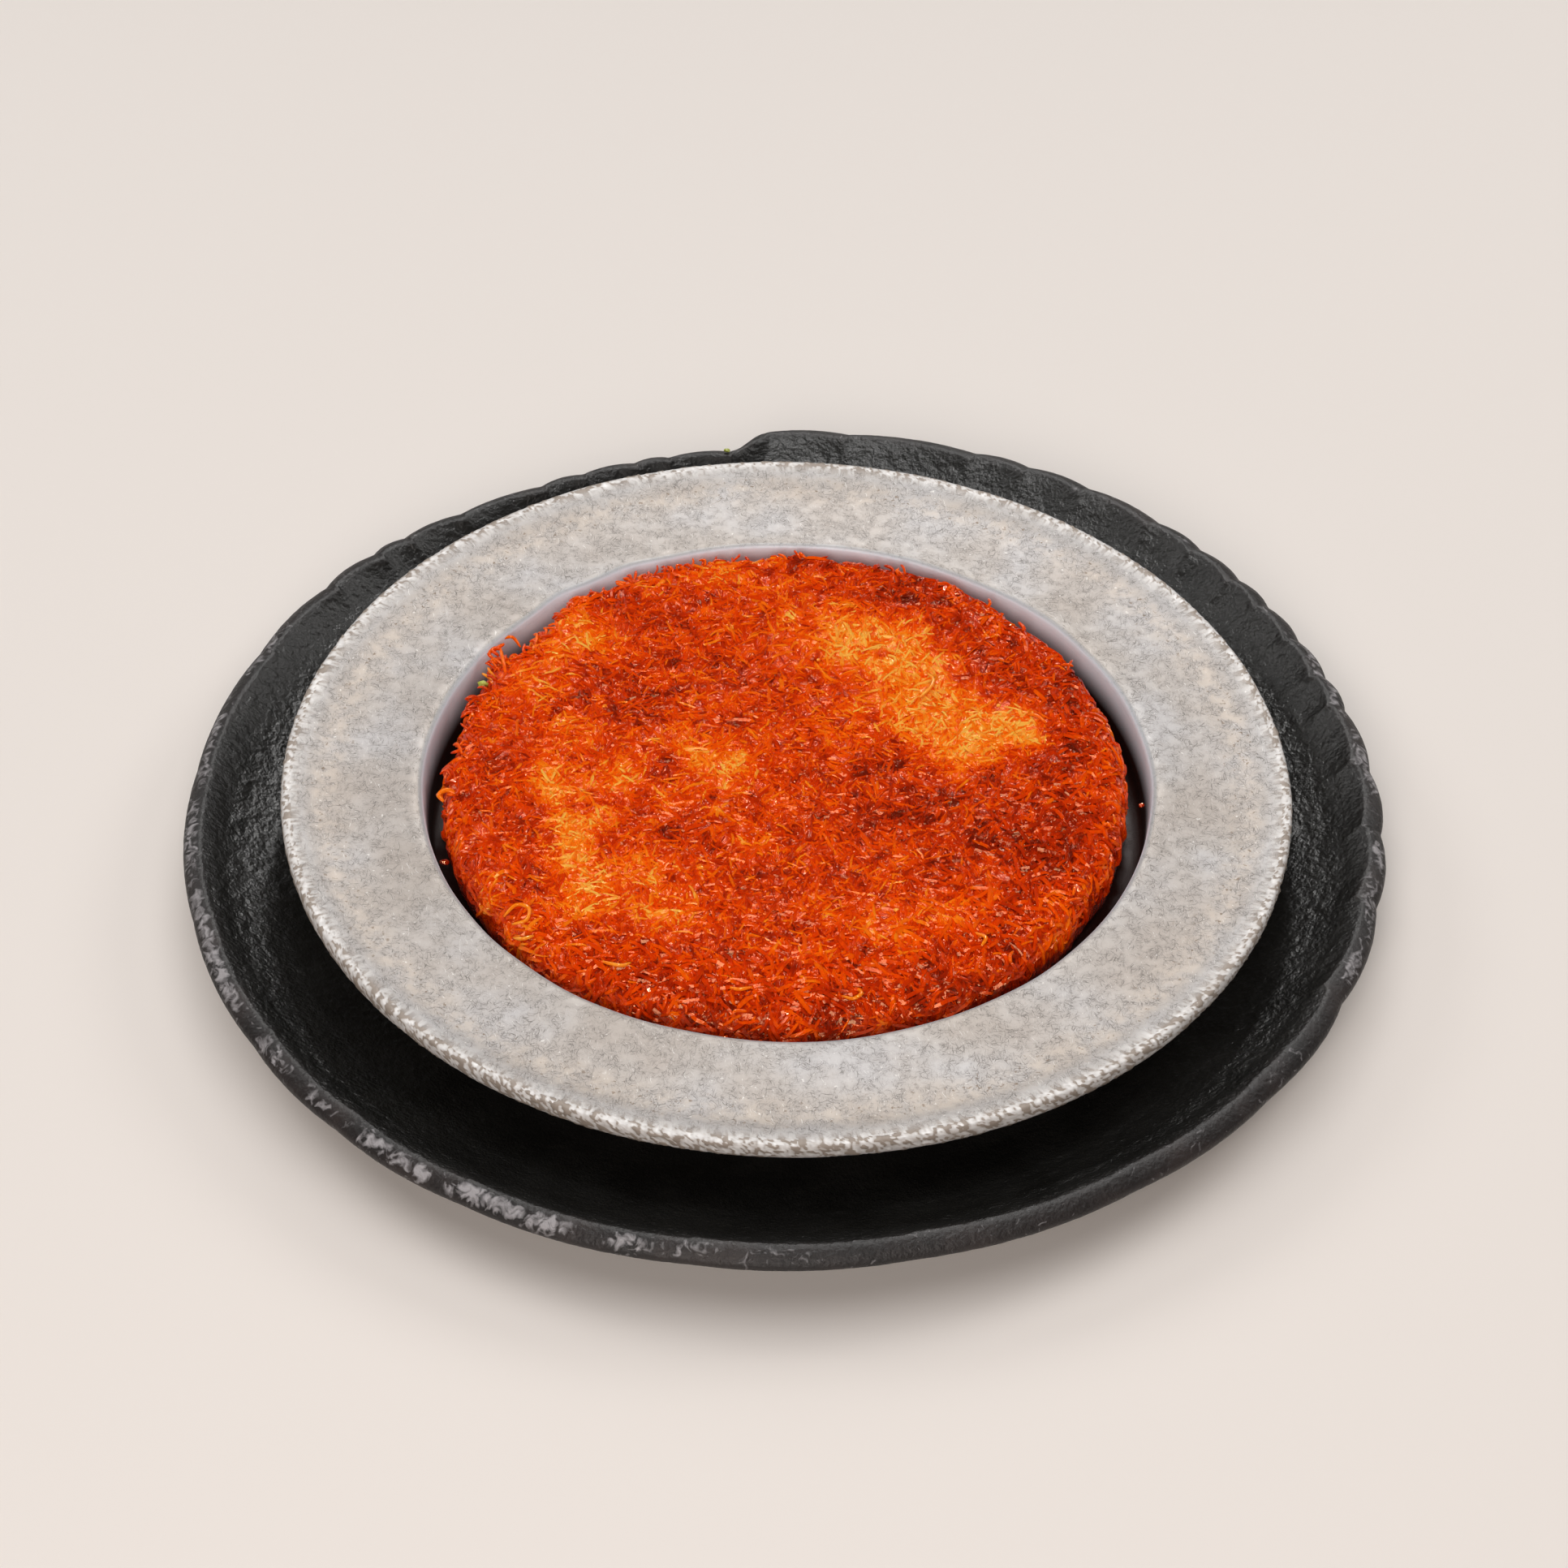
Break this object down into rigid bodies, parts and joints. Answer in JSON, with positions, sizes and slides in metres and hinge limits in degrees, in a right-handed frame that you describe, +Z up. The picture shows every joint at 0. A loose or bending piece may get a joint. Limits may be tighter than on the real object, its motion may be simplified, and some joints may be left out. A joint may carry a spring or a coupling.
{
  "type": "kunafa",
  "caption": "Round kunafa of syrup-soaked pastry shreds in a worn hammered aluminium dish, on a dark stone-look underplate with a chipped rim.",
  "frame": {"origin": "middle of the underplate's box, on the table under its flat foot", "axes": "+Z up, +Y away from the person who eats, +X to the right"},
  "size_m": [0.2694, 0.2734, 0.0277],
  "materials": {
    "stone_glaze": "matt black with a leathery stone relief and a worn, slightly glossy bevel on the rim",
    "worn_aluminium": "matt, finely scratched and stained, with a hammered outer edge",
    "baked_pastry": "glossy with sugar syrup, browned in patches"
  },
  "bodies": {
    "root": {"underplate": "stone_glaze", "metal_dish": "worn_aluminium", "kunafa": "baked_pastry"}
  },
  "joints": []
}
